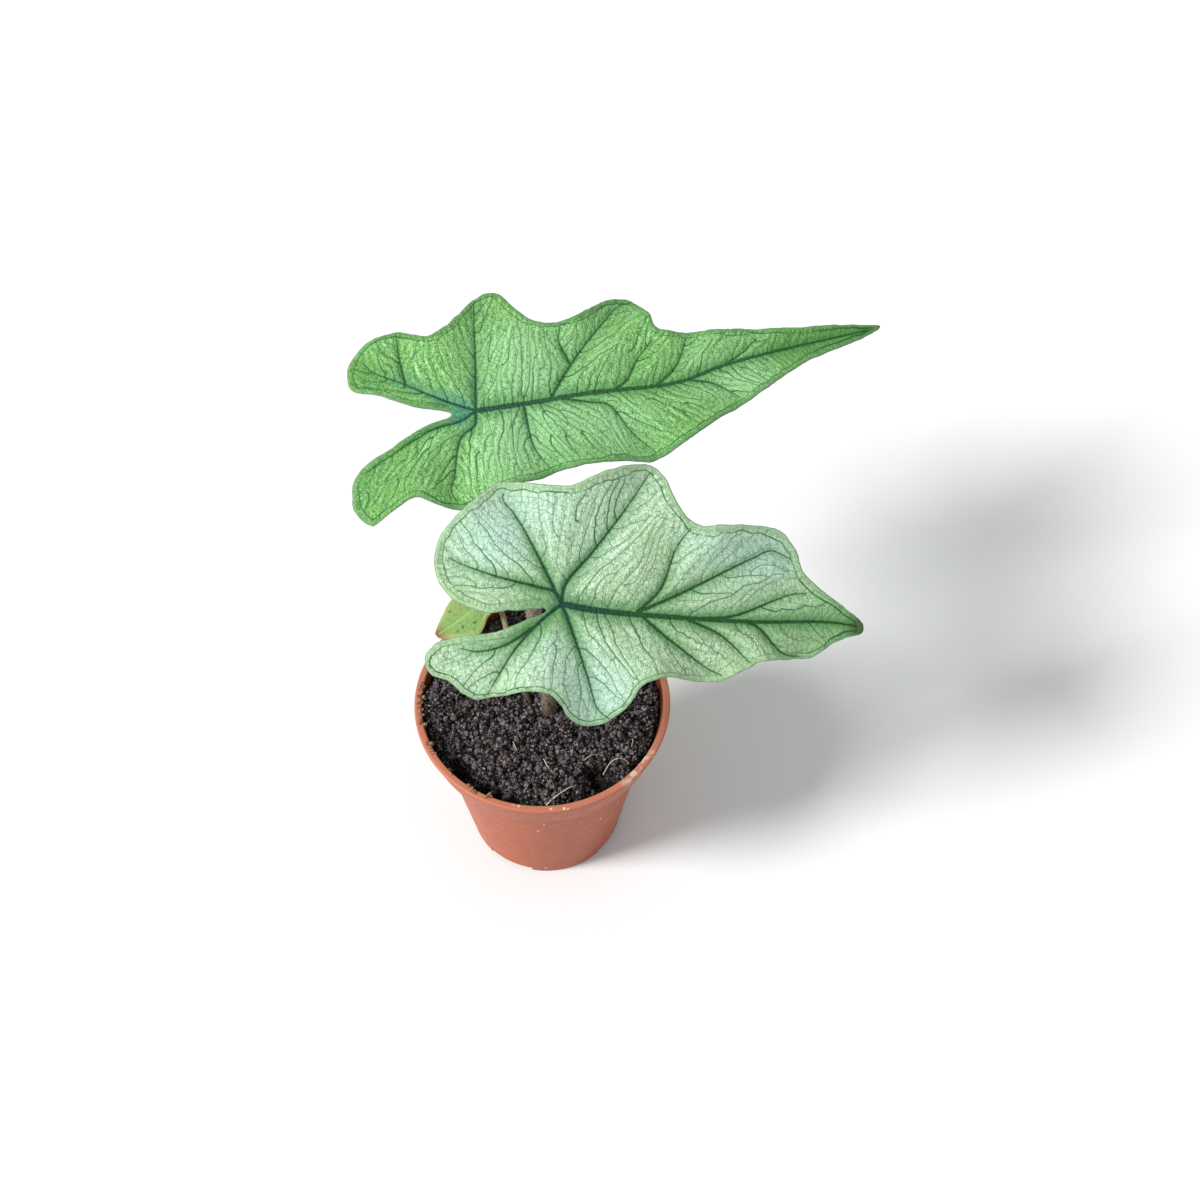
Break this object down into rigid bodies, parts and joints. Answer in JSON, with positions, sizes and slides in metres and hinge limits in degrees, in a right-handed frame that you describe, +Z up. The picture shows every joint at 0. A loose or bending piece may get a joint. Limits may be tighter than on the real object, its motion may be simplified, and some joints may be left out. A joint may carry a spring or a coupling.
{
  "type": "potted jacklyn alocasia",
  "caption": "Young alocasia with lobed, arrow-shaped net-veined leaves on slender stalks, standing in peat soil in a small tapered plastic nursery pot.",
  "frame": {"origin": "middle of the pot's flat underside", "axes": "+Z up through the pot, +X towards the tips of the two large leaves, +Y towards the back"},
  "size_m": [0.1239, 0.1084, 0.1144],
  "materials": {
    "pot_plastic": "terracotta-coloured moulded plastic",
    "peat_soil": "crumbly dark peat",
    "crown_skin": "papery brown",
    "stalk_skin": "mottled brown and green, satin",
    "old_stalk_skin": "dry pale brown",
    "leaf_green": "satin bright green with dark veins",
    "leaf_silver": "satin pale silvery green with dark veins",
    "leaf_yellowing": "matt yellowing green with brown spots"
  },
  "bodies": {
    "root": {"pot": "pot_plastic", "soil": "peat_soil", "crown": "crown_skin", "stalk_upper": "stalk_skin", "stalk_lower": "stalk_skin", "stalk_old": "old_stalk_skin", "blade_upper": "leaf_green", "blade_lower": "leaf_silver", "blade_old": "leaf_yellowing"}
  },
  "joints": []
}
